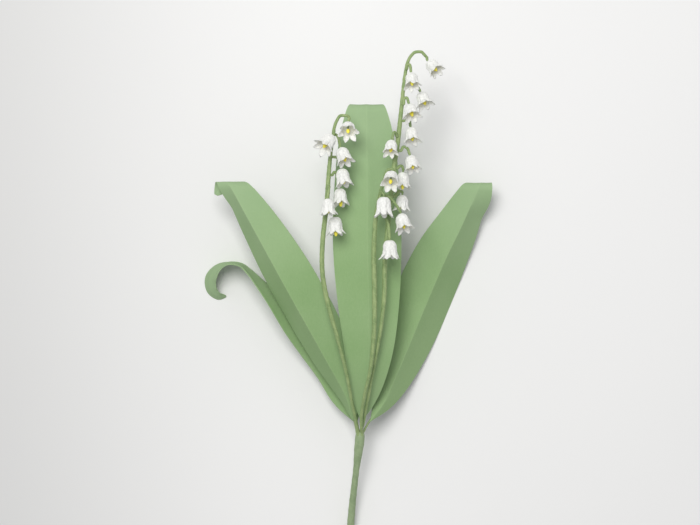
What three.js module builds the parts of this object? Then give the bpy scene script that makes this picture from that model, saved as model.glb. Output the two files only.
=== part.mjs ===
// Lily of the valley, handmade from paper: three taped wire flower stems with small
// six-lobed paper bells, four creased paper leaves and a taped main stem, lying down.
// Millimetres, +Z up. The flower tops point along +Y, and the cut stem lies along -Y.
import * as THREE from 'three';

// ---- driving dimensions -------------------------------------------------------------

const GAP = 0.3; // clearance kept between pieces that touch
const PAPER = 0.5; // leaf paper, two sheets glued together
const FLOWER_WIRE = { foot: 0.95, middle: 1.45, tip: 0.9 }; // radii of a taped flower stem
const LEAF_WIRE = 0.65; // radius of the wire glued under a leaf
const PEDICEL = { taped: 0.85, bare: 0.5 }; // radii of the wire that carries one bell
const MAIN_STEM = { top: 3.0, waist: 1.95, cut: 2.3, length: 95 }; // radii and length
const STEM_TOP = new THREE.Vector3(0, 0, 24.5); // where every wire leaves the main stem
const WIRE_RING = 2.05; // the outer wires sit on a ring of this radius at the stem's top
const LEAF_REACH = 0.62; // share of the leaf that its wire runs under
const ROLL_RADIUS = 5; // radius of the backward curl at a leaf's tip

const BELL = {
  length: 12, // crown to the lowest lobe tip
  wall: 0.45,
  hole: PEDICEL.bare + GAP, // the crown's hole round its wire
  lobes: 6,
  facets: 12,
  lobeDepth: 2.6, // how far a lobe tip reaches past the notch beside it
  lobeFlare: 1.5, // how far a lobe tip stands out past the notch
};
// Radius of the bell's outside at shares of its length, from the crown to the notches.
const BELL_PROFILE = [[0, 0.8], [0.07, 2.9], [0.25, 4.5], [0.6, 4.7], [0.78, 5.1]];
const STAMEN = { radius: 1.15, length: 4.2, reach: 9.2 }; // yellow head on the wire's end

const GREEN_TAPE = { color: 0x86985f, roughness: 0.75, metalness: 0 };
const GREEN_PAPER = { color: 0x93b47c, roughness: 0.85, metalness: 0 };
const WHITE_PAPER = { color: 0xf2f2ec, roughness: 0.8, metalness: 0 };

const v3 = (p) => new THREE.Vector3(...p);
const UP = new THREE.Vector3(0, 0, 1);

// ---- shared shape makers ------------------------------------------------------------

// A closed body from rings of points: each ring joins the next, and flat fans close the
// ends. With `closed` the last ring joins the first instead, as in a shell with a hole.
function ringBody(rings, closed = false) {
  const count = rings[0].length;
  const positions = rings.flat().flatMap((p) => [p.x, p.y, p.z]);
  const index = [];
  const bands = closed ? rings.length : rings.length - 1;
  for (let i = 0; i < bands; i++) {
    const a = i * count;
    const b = ((i + 1) % rings.length) * count;
    for (let j = 0; j < count; j++) {
      const k = (j + 1) % count;
      index.push(a + j, a + k, b + j, a + k, b + k, b + j);
    }
  }
  if (!closed) {
    const last = (rings.length - 1) * count;
    for (let j = 1; j < count - 1; j++) {
      index.push(0, j + 1, j);
      index.push(last, last + j, last + j + 1);
    }
  }
  const geometry = new THREE.BufferGeometry();
  geometry.setAttribute('position', new THREE.Float32BufferAttribute(positions, 3));
  geometry.setIndex(index);
  geometry.computeVertexNormals();
  return geometry;
}

// A round tube along a curve whose radius changes along it.
function taperedTube(curve, radiusAt, sides, steps) {
  const frames = curve.computeFrenetFrames(steps, false);
  const rings = [];
  for (let i = 0; i <= steps; i++) {
    const centre = curve.getPointAt(i / steps);
    const ring = [];
    for (let j = 0; j < sides; j++) {
      const angle = (2 * Math.PI * j) / sides;
      const out = frames.normals[i].clone().multiplyScalar(Math.cos(angle))
        .addScaledVector(frames.binormals[i], Math.sin(angle));
      ring.push(centre.clone().addScaledVector(out, radiusAt(i / steps)));
    }
    rings.push(ring);
  }
  return ringBody(rings);
}

function makeMesh(name, geometry, finish) {
  const mesh = new THREE.Mesh(geometry, new THREE.MeshStandardMaterial(finish));
  mesh.name = name;
  return mesh;
}

const mix = THREE.MathUtils.lerp;
const ease = THREE.MathUtils.smoothstep;

// First two points of a wire that leaves the main stem's top face: one wire is in the
// middle (null), and the other six are on a ring round it.
function wireStart(degrees) {
  const angle = THREE.MathUtils.degToRad(degrees ?? 0);
  const ring = degrees === null ? 0 : WIRE_RING;
  const root = new THREE.Vector3(
    ring * Math.cos(angle), GAP, STEM_TOP.z + ring * Math.sin(angle));
  return [root, root.clone().add(new THREE.Vector3(0, 1.2, 0))];
}

// ---- main stem ----------------------------------------------------------------------

const mainStemCurve = new THREE.CatmullRomCurve3([
  v3([-7.6, -MAIN_STEM.length, MAIN_STEM.cut]),
  v3([-6.8, -74, 4]),
  v3([-5, -48, 10]),
  v3([-2.6, -25, 17.5]),
  v3([-0.4, -5.5, 23.9]),
  v3([0, -1.5, 24.5]),
  STEM_TOP,
]);

function mainStemRadius(t) {
  const lower = mix(MAIN_STEM.cut, MAIN_STEM.waist, ease(t, 0.3, 0.72));
  return mix(lower, MAIN_STEM.top, ease(t, 0.74, 0.97));
}

// ---- flower stems -------------------------------------------------------------------

// Centre lines from the main stem to the arched tip, each a smooth curve.
const FLOWER_STEMS = {
  left_flower_stem: {
    rootAngle: 120,
    points: [[-4.9, 20.6, 34.5], [-8.8, 41.9, 43], [-13.6, 61, 48.5], [-19.7, 83, 52],
      [-23.2, 101.6, 54], [-23.3, 120, 56], [-20.6, 146, 57.5], [-19.2, 166, 58.5],
      [-17.3, 183.3, 59.5], [-15.2, 194.5, 60.5], [-12.2, 199.3, 61], [-9.3, 199.4, 61]],
  },
  tall_flower_stem: {
    rootAngle: null, // the middle wire of the bunch
    points: [[1.3, 5, 26.2], [4.4, 21, 35.4], [7.2, 37.3, 43], [11.5, 60.6, 49.5], [14.7, 86, 52.5],
      [15.2, 109.6, 54], [17.1, 132.4, 56], [20.4, 165, 58], [23.2, 184.6, 59],
      [25.2, 203, 60], [27.5, 224.4, 60.5], [29.7, 233.6, 61], [33.2, 238, 61.2],
      [37.6, 238.4, 60.6], [40.1, 236, 60]],
  },
  short_flower_stem: {
    rootAngle: 60,
    points: [[0.9, 5, 28.9], [0.8, 12, 33], [2.7, 26, 41.2], [6.4, 43.1, 49], [8.6, 67.5, 53.8],
      [8.8, 92.9, 55.8], [8.4, 117, 58], [9.7, 138.5, 60.5], [12.1, 151.3, 63.5],
      [14.6, 160.5, 65.4], [15.8, 164.4, 66], [16.9, 165.9, 66.1], [17.9, 166.2, 66.1]],
  },
};

for (const stem of Object.values(FLOWER_STEMS)) {
  const points = [...wireStart(stem.rootAngle), ...stem.points.map(v3)];
  stem.curve = new THREE.CatmullRomCurve3(points, false, 'centripetal');
}

function flowerStemRadius(t) {
  const swell = mix(FLOWER_WIRE.foot, FLOWER_WIRE.middle, ease(t, 0.12, 0.5));
  return mix(swell, FLOWER_WIRE.tip, ease(t, 0.72, 1));
}

// The point of a flower stem's centre line that lies furthest along the stem at a given
// distance along Y, with the stem's radius there.
function stemAt(stem, y) {
  const samples = 240;
  let best = { t: 0, distance: Infinity };
  for (let i = 0; i <= samples; i++) {
    const t = (0.97 * i) / samples;
    const distance = Math.abs(stem.curve.getPointAt(t).y - y);
    if (distance < best.distance - 1e-6) best = { t, distance };
  }
  const { t } = best;
  return {
    point: stem.curve.getPointAt(t),
    tangent: stem.curve.getTangentAt(t),
    radius: flowerStemRadius(t),
  };
}

// ---- bells and the wires that carry them --------------------------------------------

// crown: where the wire enters the bell; aim: the way the bell opens; size: its size
// against the others; root: how far along Y the wire leaves its stem (null hangs the bell
// on the stem's own tip); via: the way the wire arches on from there to the crown.
const BELLS = {
  left_flower_stem: [
    { crown: [-7.6, 194, 62], aim: [0.02, -0.6, 0.8], size: 0.95, root: null,
      via: [[-6.9, 198.4, 60.2]] },
    { crown: [-17.2, 186.3, 67], aim: [-0.5, -0.68, 0.48], size: 1, root: 186.5,
      via: [[-16.3, 189, 63], [-15.9, 189.8, 64.6]] },
    { crown: [-12, 179.3, 62.5], aim: [0.3, -0.84, 0.42], size: 0.95, root: 188,
      via: [[-13.4, 185.6, 62.4]] },
    { crown: [-11.6, 166.8, 59], aim: [0.18, -0.95, 0.2], size: 0.93, root: 174.5,
      via: [[-14.6, 174, 58.4], [-12.8, 171.4, 57.8]] },
    { crown: [-12.6, 154.8, 54], aim: [0.06, -0.95, 0.25], size: 0.9, root: 163.5,
      via: [[-15.9, 165, 56.2], [-13.8, 162.6, 54.4]] },
    { crown: [-19.7, 148.4, 66.5], aim: [0.02, -0.99, 0.06], size: 0.87, root: 155,
      via: [[-19.2, 155.8, 63], [-19.2, 154.6, 65.4]] },
    { crown: [-15.6, 137.4, 57], aim: [0.06, -0.99, 0.08], size: 0.95, root: 141.5,
      via: [[-16.6, 141, 57.2]] },
  ],
  tall_flower_stem: [
    { crown: [41.9, 232.6, 61.3], aim: [0.52, -0.68, 0.5], size: 0.9, root: null, via: [] },
    { crown: [31, 224.6, 66.8], aim: [0.06, -0.84, 0.5], size: 0.88, root: 228,
      via: [[29, 229.8, 63.6], [30.2, 230.2, 65]] },
    { crown: [37.2, 213.6, 58.5], aim: [0.3, -0.86, 0.4], size: 0.87, root: 221,
      via: [[32.2, 220.6, 58.8]] },
    { crown: [29.9, 205.6, 65], aim: [0.2, -0.82, 0.54], size: 0.87, root: 207,
      via: [[27, 209.6, 62.6], [28.4, 210.2, 63.2]] },
    { crown: [31, 191.9, 59], aim: [0.12, -0.9, 0.4], size: 0.87, root: 196.5,
      via: [[28, 198.4, 58.8], [30, 197.4, 58.4]] },
    { crown: [30.6, 174.6, 59], aim: [0.2, -0.88, 0.42], size: 0.87, root: 178.5,
      via: [[26.4, 180.4, 58.4], [28.8, 179.6, 58.2]] },
    { crown: [19.3, 183.6, 66.5], aim: [-0.12, -0.84, 0.52], size: 0.83, root: 187,
      via: [[21.8, 188.6, 63], [20.6, 188.8, 64.6]] },
    { crown: [26.4, 164.9, 55.5], aim: [-0.03, -0.99, 0.12], size: 0.85, root: 167.5,
      via: [[24.4, 168.8, 56.4], [26, 168.4, 55.8]] },
    { crown: [26, 151, 54.5], aim: [-0.05, -0.99, 0.06], size: 0.84, root: 150.5,
      via: [[23.2, 152.6, 55.2], [25, 153.2, 54.6]] },
  ],
  short_flower_stem: [
    { crown: [19.1, 163.4, 69.4], aim: [-0.1, -0.62, 0.78], size: 1, root: null,
      via: [[20.2, 165.7, 66.6]] },
    { crown: [14.2, 149.2, 69], aim: [0.02, -0.99, 0.12], size: 1.03, root: 148.5,
      via: [[12.2, 150.6, 66.4], [13.2, 152.2, 67.8]] },
    { crown: [24.9, 139, 62.6], aim: [0.2, -0.9, 0.38], size: 0.97, root: 151,
      via: [[17.6, 149.6, 63], [22, 144.4, 63]] },
    { crown: [17.9, 123, 65.5], aim: [0.02, -1, 0.04], size: 0.98, root: 140.5,
      via: [[13.6, 139.4, 60.4], [16.8, 133.5, 62.8]] },
  ],
};

function bellGeometry() {
  const { length, wall, lobes, facets, lobeDepth, lobeFlare } = BELL;
  // One ring at a share of the length; past the notches the lobes reach out and down.
  const ring = (share, radius, inward, lobeShare = 0) => {
    const points = [];
    for (let j = 0; j < facets; j++) {
      const angle = (2 * Math.PI * j) / facets;
      const lobe = 0.5 + 0.5 * Math.cos(lobes * angle);
      const r = radius - inward + lobeFlare * lobe * lobeShare;
      const depth = share * length + lobeDepth * lobe * lobeShare;
      points.push(new THREE.Vector3(r * Math.cos(angle), r * Math.sin(angle), -depth));
    }
    return points;
  };
  const outside = BELL_PROFILE.map(([share, radius]) => ring(share, radius, 0));
  const [rimShare, rimRadius] = BELL_PROFILE.at(-1);
  outside.push(ring(rimShare + 0.02, rimRadius + 0.15, 0, 1));
  const inside = BELL_PROFILE.slice(1, -1).map(([share, radius]) => (
    ring(share + wall / length, radius, wall)));
  inside.push(ring(rimShare + 0.02, rimRadius - 0.1, wall, 1));
  const crown = ring(wall / length, BELL.hole, 0);
  return ringBody([crown, ...inside, ...outside.reverse()], true);
}

// The bell's wire: out of the stem, over its arch, in through the crown and down to the
// stamen head on its end, all one piece.
function pedicelGeometry(start, spec, aim) {
  const crown = v3(spec.crown);
  const along = (distance) => crown.clone().addScaledVector(aim, distance);
  const reach = STAMEN.reach * spec.size;
  const points = [...start, ...spec.via.map(v3), along(-1.6), along(-0.4), along(1.2), along(reach)];
  const curve = new THREE.CatmullRomCurve3(points, false, 'centripetal');
  const length = curve.getLength();
  const radiusAt = (t) => {
    const fromEnd = (1 - t) * length;
    if (fromEnd > STAMEN.length) {
      return mix(PEDICEL.bare, PEDICEL.taped, ease(fromEnd - reach, 0.6, 2));
    }
    const bulge = Math.sqrt(Math.sin(Math.PI * mix(0.12, 1, fromEnd / STAMEN.length)));
    return mix(PEDICEL.bare, STAMEN.radius, bulge);
  };
  return taperedTube(curve, radiusAt, 6, Math.max(12, Math.round(length / 1.6)));
}

const bellShape = bellGeometry();

function bellAssembly(stemName, spec, number) {
  const stem = FLOWER_STEMS[stemName];
  const prefix = stemName.replace('_flower_stem', '');
  const aim = v3(spec.aim).normalize();
  const bell = makeMesh(`${prefix}_bell_${number}`, bellShape.clone(), WHITE_PAPER);
  bell.position.copy(v3(spec.crown));
  bell.scale.setScalar(spec.size);
  const turn = new THREE.Quaternion().setFromAxisAngle(UP, number * 0.9);
  bell.quaternion.setFromUnitVectors(UP.clone().negate(), aim).multiply(turn);

  const start = [];
  if (spec.root === null) {
    const tangent = stem.curve.getTangentAt(1);
    const tip = stem.curve.getPointAt(1);
    start.push(...[0, 0.5].map((step) => (
      tip.clone().addScaledVector(tangent, GAP + 0.3 + step))));
  } else {
    const { point, radius, tangent } = stemAt(stem, spec.root);
    const out = v3(spec.via[0]).sub(point);
    out.addScaledVector(tangent, -out.dot(tangent)).normalize();
    start.push(...[0, 0.9].map((step) => (
      point.clone().addScaledVector(out, radius + GAP + 0.1 + step))));
  }
  const wire = makeMesh(
    `${prefix}_bell_wire_${number}`, pedicelGeometry(start, spec, aim), GREEN_TAPE);
  return [bell, wire];
}

// ---- leaves -------------------------------------------------------------------------

// spine: the crease's course; width: half the leaf's width, with `peak` and `fullness`
// shaping the outline; fold: how far each half drops from the crease, in degrees, at the
// foot and at the tip; bank: how far the leaf turns about its crease; curlFrom: distance
// along Y where the tip starts to curl down and back.
const LEAVES = {
  left_leaf: {
    spine: [[-4.3, 9.5, 25.6], [-8.6, 23.4, 29.8], [-23.9, 51, 38], [-47.4, 92.2, 46.5],
      [-70.4, 133.5, 45.5], [-84.5, 159, 40.5], [-93, 174, 38]],
    halfWidth: 22.8, peak: 0.88, fullness: 0.6, footTaper: 0.03,
    fold: [40, 20], bank: [24, 16], settleFrom: 0.83, curlFrom: 155,
    wireAngle: 180, steps: 26,
  },
  middle_leaf: {
    spine: [[0.9, 9, 25.8], [2.4, 20, 30.6], [4.2, 37, 38.4], [5.5, 57.9, 43.4],
      [5.2, 86, 46.6], [4.4, 123.3, 48], [4.3, 160.6, 47], [4, 196, 45], [3.9, 219, 44]],
    halfWidth: 22.4, peak: 1.25, fullness: 0.45, footTaper: 0.03,
    fold: [17, 4], bank: [0, 0], settleFrom: 0.7, curlFrom: 203,
    wireAngle: 300, steps: 28,
  },
  right_leaf: {
    spine: [[6.4, 8.5, 25.2], [15.2, 20.6, 22.6], [29.3, 51.4, 18.4], [42.3, 82.6, 17.5],
      [55, 112.2, 18.4], [64.8, 132.6, 20], [76, 159, 22], [81, 172, 22.4]],
    halfWidth: 23, peak: 0.92, fullness: 0.66, footTaper: 0.06,
    fold: [33, 5], bank: [-15, 5], settleFrom: 0.8, curlFrom: 155,
    wireAngle: 0, steps: 26,
  },
  // Folded lightly and turned on edge. Its tip winds back in a hook in plan, and from
  // `standsFrom` on its lower edge runs along the table.
  curled_leaf: {
    spine: [[-2.2, 7, 18.5], [-4.4, 14, 15], [-10.5, 27, 12.4], [-16, 41, 11.8],
      [-25.9, 58, 12.6], [-37.8, 73.9, 14], [-47.1, 84.5, 15], [-55.8, 92.8, 15],
      [-63.2, 99.3, 14], [-69.5, 104.8, 13], [-75.4, 108.8, 12], [-84.4, 109.6, 10.6],
      [-91.8, 106, 9.2], [-96.4, 99, 7.8], [-95.8, 91.4, 5.8], [-91.3, 87.3, 3.8],
      [-86.5, 87.3, 1.2]],
    halfWidth: 15, peak: 0.88, fullness: 0.6, footTaper: 0.03,
    fold: [20, 6], settleFrom: 0.3, standsFrom: 0.42,
    bank: [-20, -89], turnOver: [0.2, 0.76], leanBack: -52,
    wireAngle: 240, steps: 40,
  },
};

function leafHalfWidth(leaf, v) {
  const outline = Math.sin(Math.PI * mix(0.004, 0.997, v) ** leaf.peak) ** leaf.fullness;
  return leaf.halfWidth * outline * (1 - Math.exp(-(v + 0.008) / leaf.footTaper));
}

// Bends a point past `curlFrom` down and back, round an axis along X that lies one roll
// radius below the middle of the paper there.
function curlTip(point, leaf, paperZ) {
  const past = point.y - leaf.curlFrom;
  if (past <= 0) return point;
  const angle = past / ROLL_RADIUS;
  const axisZ = paperZ - ROLL_RADIUS;
  const radius = point.z - axisZ;
  return new THREE.Vector3(
    point.x, leaf.curlFrom + radius * Math.sin(angle), axisZ + radius * Math.cos(angle));
}

// How far a leaf is turned about its crease at a share v of its length, in degrees.
function leafBank(leaf, v) {
  const [foot, far] = leaf.bank;
  if (!leaf.turnOver) return mix(foot, far, ease(v, leaf.settleFrom, 0.95));
  const turned = mix(foot, far, ease(v, ...leaf.turnOver));
  return mix(turned, leaf.leanBack, ease(v, leaf.turnOver[1], 0.92));
}

// The crease's place and the directions of the leaf's two halves at a share v.
function leafFrame(leaf, v) {
  const tangent = leaf.curve.getTangentAt(v);
  const level = new THREE.Vector3().crossVectors(tangent, UP).normalize();
  const normal = new THREE.Vector3().crossVectors(level, tangent);
  const bank = THREE.MathUtils.degToRad(leafBank(leaf, v));
  const fold = THREE.MathUtils.degToRad(mix(...leaf.fold, ease(v, leaf.settleFrom, 0.95)));
  const side = level.clone().multiplyScalar(Math.cos(bank)).addScaledVector(normal, Math.sin(bank));
  const face = normal.multiplyScalar(Math.cos(bank)).addScaledVector(level, -Math.sin(bank));
  const half = (sign) => side.clone().multiplyScalar(sign * Math.cos(fold))
    .addScaledVector(face, -Math.sin(fold));
  const halves = [half(-1), half(1)];
  const centre = leaf.curve.getPointAt(v);
  if (leaf.standsFrom) {
    const standing = leafHalfWidth(leaf, v) * Math.abs(halves[1].z) + PAPER;
    centre.z = mix(centre.z, standing, ease(v, leaf.standsFrom, leaf.turnOver[1]));
  }
  return { centre, face, halves, fold };
}

const LEAF_SHARES = [1, 0.5]; // stations across one half, from its edge to the crease

// A leaf as one thin closed sheet: a ring of points over its front and back per station.
function leafGeometry(leaf) {
  const rings = [];
  for (let i = 0; i <= leaf.steps; i++) {
    const v = i / leaf.steps;
    const { centre, face, halves, fold } = leafFrame(leaf, v);
    const width = leafHalfWidth(leaf, v);
    const shell = PAPER / 2 / Math.cos(fold);
    const reach = (half, share, offset) => {
      const paper = centre.clone().addScaledVector(half, width * share);
      const point = paper.clone().addScaledVector(face, offset);
      return leaf.curlFrom ? curlTip(point, leaf, paper.z) : point;
    };
    const sheet = (offset) => [
      ...LEAF_SHARES.map((share) => reach(halves[0], share, offset)),
      reach(halves[0], 0, offset),
      ...LEAF_SHARES.toReversed().map((share) => reach(halves[1], share, offset)),
    ];
    rings.push([...sheet(shell), ...sheet(-shell).reverse()]);
  }
  return ringBody(rings);
}

// The wire under a leaf: out of the main stem, then along the underside of the crease.
function leafWireGeometry(leaf) {
  const points = wireStart(leaf.wireAngle);
  const stops = 7;
  for (let i = 0; i <= stops; i++) {
    const v = mix(0, LEAF_REACH, i / stops);
    const { centre, face, fold } = leafFrame(leaf, v);
    const clear = LEAF_WIRE + GAP + PAPER;
    points.push(centre.addScaledVector(face, -clear / Math.cos(fold) - 0.2));
  }
  const curve = new THREE.CatmullRomCurve3(points, false, 'centripetal');
  return taperedTube(curve, (t) => mix(LEAF_WIRE, LEAF_WIRE * 0.7, t), 6, 20);
}

// ---- the whole flower ---------------------------------------------------------------

const flower = new THREE.Group();
flower.add(makeMesh('main_stem', taperedTube(mainStemCurve, mainStemRadius, 12, 16), GREEN_TAPE));

for (const [name, stem] of Object.entries(FLOWER_STEMS)) {
  flower.add(makeMesh(name, taperedTube(stem.curve, flowerStemRadius, 8, 36), GREEN_TAPE));
}

for (const [name, leaf] of Object.entries(LEAVES)) {
  leaf.curve = new THREE.CatmullRomCurve3(leaf.spine.map(v3), false, 'centripetal');
  flower.add(makeMesh(name, leafGeometry(leaf), GREEN_PAPER));
  flower.add(makeMesh(`${name}_wire`, leafWireGeometry(leaf), GREEN_TAPE));
}

for (const [stemName, bells] of Object.entries(BELLS)) {
  bells.forEach((spec, i) => flower.add(...bellAssembly(stemName, spec, i + 1)));
}

// The origin is under the middle of the whole flower, on the surface it rests on.
const bounds = new THREE.Box3().setFromObject(flower, true);
const middle = bounds.getCenter(new THREE.Vector3());
flower.position.set(-middle.x, -middle.y, -bounds.min.z);

const part = new THREE.Group();
part.add(flower);

export default part;
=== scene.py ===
"""Looks of a handmade paper lily of the valley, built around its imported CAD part.

Creased paper leaves, wires bound in green crepe tape, twenty white paper bells with six
turned-out lobes each, and the yellow stamen heads inside them. Shapes are worked out in
millimetres from the top of the main stem, and every mesh is placed in metres.
"""

import logging
import math
from collections.abc import Callable, Sequence
from dataclasses import dataclass
from enum import Enum
from typing import Any

import bmesh
import bpy
import numpy as np
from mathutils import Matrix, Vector, noise


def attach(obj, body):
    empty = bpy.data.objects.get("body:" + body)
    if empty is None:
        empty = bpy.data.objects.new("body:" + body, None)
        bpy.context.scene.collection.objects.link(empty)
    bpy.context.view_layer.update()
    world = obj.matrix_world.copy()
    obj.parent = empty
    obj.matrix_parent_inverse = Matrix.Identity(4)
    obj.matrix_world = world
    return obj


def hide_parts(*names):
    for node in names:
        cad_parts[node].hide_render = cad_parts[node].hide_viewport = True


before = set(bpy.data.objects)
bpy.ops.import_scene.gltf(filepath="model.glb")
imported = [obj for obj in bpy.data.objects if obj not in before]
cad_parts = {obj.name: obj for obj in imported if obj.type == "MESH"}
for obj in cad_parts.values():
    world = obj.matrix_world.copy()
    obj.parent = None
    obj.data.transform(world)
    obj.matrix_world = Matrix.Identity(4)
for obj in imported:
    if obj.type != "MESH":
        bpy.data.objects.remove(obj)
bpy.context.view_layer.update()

LOG = logging.getLogger("lily_of_the_valley")
BODY = "root"
MM = 0.001

# Millimetres: the gap between neighbours, a leaf's thickness, the ring that the wires
# stand on at the main stem's top, how deep they are sunk in it, and their ring spacing.
GAP = 0.3
PAPER = 0.5
WIRE_RING = 2.05
WIRE_SUNK = 3.0
WIRE_STEP = 0.45
STEM_TOP = np.array([0.0, 0.0, 24.5])
UP = np.array([0.0, 0.0, 1.0])


class Slot(Enum):
    """Names of the finishes, one for each kind of piece."""

    LEAF = "leaf_paper"
    TAPE = "stem_tape"
    BELL = "bell_paper"
    STAMEN = "stamen"


class TreeKind(Enum):
    """Kinds of node tree that the script builds."""

    GEOMETRY = "GeometryNodeTree"
    SHADER = "ShaderNodeTree"


# ---- small mathematics ---------------------------------------------------------------


def mix(a: float, b: float, share: float) -> float:
    """Return the value a given share of the way from a to b."""
    return a + (b - a) * share


def ease(value: float, low: float, high: float) -> float:
    """Return a smooth step from 0 at low to 1 at high."""
    share = min(max((value - low) / (high - low), 0.0), 1.0)
    return share * share * (3 - 2 * share)


def unit(vector: Sequence[float]) -> np.ndarray:
    """Return the vector at length one."""
    array = np.asarray(vector, float)
    return array / np.linalg.norm(array)


class SmoothPath:
    """A centripetal curve through given points, read by its share of length."""

    SUBSTEPS = 48

    def __init__(self, points: Sequence[Sequence[float]]) -> None:
        """Sample the curve densely.

        Args:
            points: the places that the curve passes through, in millimetres.
        """
        knots = [np.asarray(p, float) for p in points]
        knots = [2 * knots[0] - knots[1], *knots, 2 * knots[-1] - knots[-2]]
        dense = []
        for p0, p1, p2, p3 in zip(knots, knots[1:], knots[2:], knots[3:]):
            d0, d1, d2 = (math.sqrt(max(np.linalg.norm(b - a), 1e-6))
                          for a, b in ((p0, p1), (p1, p2), (p2, p3)))
            start = ((p1 - p0) / d0 - (p2 - p0) / (d0 + d1) + (p2 - p1) / d1) * d1
            end = ((p2 - p1) / d1 - (p3 - p1) / (d1 + d2) + (p3 - p2) / d2) * d1
            for i in range(self.SUBSTEPS):
                t = i / self.SUBSTEPS
                dense.append((2 * t**3 - 3 * t**2 + 1) * p1 + (t**3 - 2 * t**2 + t) * start
                             + (3 * t**2 - 2 * t**3) * p2 + (t**3 - t**2) * end)
        dense.append(knots[-2])
        self.dense = np.array(dense)
        steps = np.linalg.norm(np.diff(self.dense, axis=0), axis=1)
        self.travelled = np.concatenate([[0.0], np.cumsum(steps)])
        self.length = float(self.travelled[-1])

    def at(self, share: float) -> np.ndarray:
        """Return the point at a share of the curve's length."""
        distance = share * self.length
        return np.array([np.interp(distance, self.travelled, self.dense[:, k])
                         for k in range(3)])

    def tangent(self, share: float) -> np.ndarray:
        """Return the direction of travel at a share of the curve's length."""
        step = 0.4 / self.length
        return unit(self.at(min(share + step, 1.0)) - self.at(max(share - step, 0.0)))


# ---- placing and making meshes -------------------------------------------------------


def junction_shift() -> np.ndarray:
    """Return the main stem's top centre in the frame, less its place in the shapes."""
    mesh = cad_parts["main_stem"].data
    points = np.array([v.co for v in mesh.vertices])
    rim = points[points[:, 1] > points[:, 1].max() - 1e-5]
    return np.unique(rim.round(7), axis=0).mean(axis=0) / MM - STEM_TOP


SHIFT = junction_shift()


def placed(points: np.ndarray) -> np.ndarray:
    """Return points from the stem's own millimetres as metres in the frame."""
    return (np.asarray(points) + SHIFT) * MM


def new_object(name: str, mesh: bpy.types.Mesh) -> bpy.types.Object:
    """Link a mesh to the scene as an object at the origin."""
    piece = bpy.data.objects.new(name, mesh)
    bpy.context.scene.collection.objects.link(piece)
    return piece


def ring_mesh(name: str, rings: np.ndarray) -> bpy.types.Mesh:
    """Make one closed mesh from rings of points, with its ends closed.

    Args:
        name: the mesh's name.
        rings: an array of rings by points by three, in metres.

    Returns:
        A smooth mesh whose faces point outwards.
    """
    count, around = rings.shape[:2]
    faces = []
    for i in range(count - 1):
        for j in range(around):
            k = (j + 1) % around
            faces.append((i * around + j, i * around + k,
                          (i + 1) * around + k, (i + 1) * around + j))
    faces.append(tuple(range(around)))
    faces.append(tuple(range((count - 1) * around, count * around)))
    mesh = bpy.data.meshes.new(name)
    mesh.from_pydata(rings.reshape(-1, 3).tolist(), [], faces)
    face_outwards(mesh)
    return mesh


def face_outwards(mesh: bpy.types.Mesh) -> None:
    """Turn every face of a closed mesh outwards and shade it smooth."""
    shell = bmesh.new()
    shell.from_mesh(mesh)
    bmesh.ops.recalc_face_normals(shell, faces=shell.faces)
    if shell.calc_volume(signed=True) < 0:
        bmesh.ops.reverse_faces(shell, faces=shell.faces)
    shell.to_mesh(mesh)
    shell.free()
    mesh.shade_smooth()


def point_attribute(mesh: bpy.types.Mesh, name: str, values: np.ndarray) -> None:
    """Store one vector for each point of a mesh.

    Args:
        mesh: the mesh.
        name: the attribute's name, which the materials read.
        values: an array of points by three.
    """
    store = mesh.attributes.new(name, "FLOAT_VECTOR", "POINT")
    store.data.foreach_set("vector", np.asarray(values, np.float32).ravel())


def finish_piece(piece: bpy.types.Object, slot: Slot, *nodes: str) -> None:
    """Hand a finished piece to the frame.

    Args:
        piece: the piece, with its place in its mesh.
        slot: not used.
        nodes: the CAD nodes that it stands for.
    """
    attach(piece, BODY)
    if nodes:
        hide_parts(*nodes)
    LOG.info("%s: %d faces", piece.name, len(piece.data.polygons))


# ---- node trees written as arithmetic ------------------------------------------------


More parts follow.
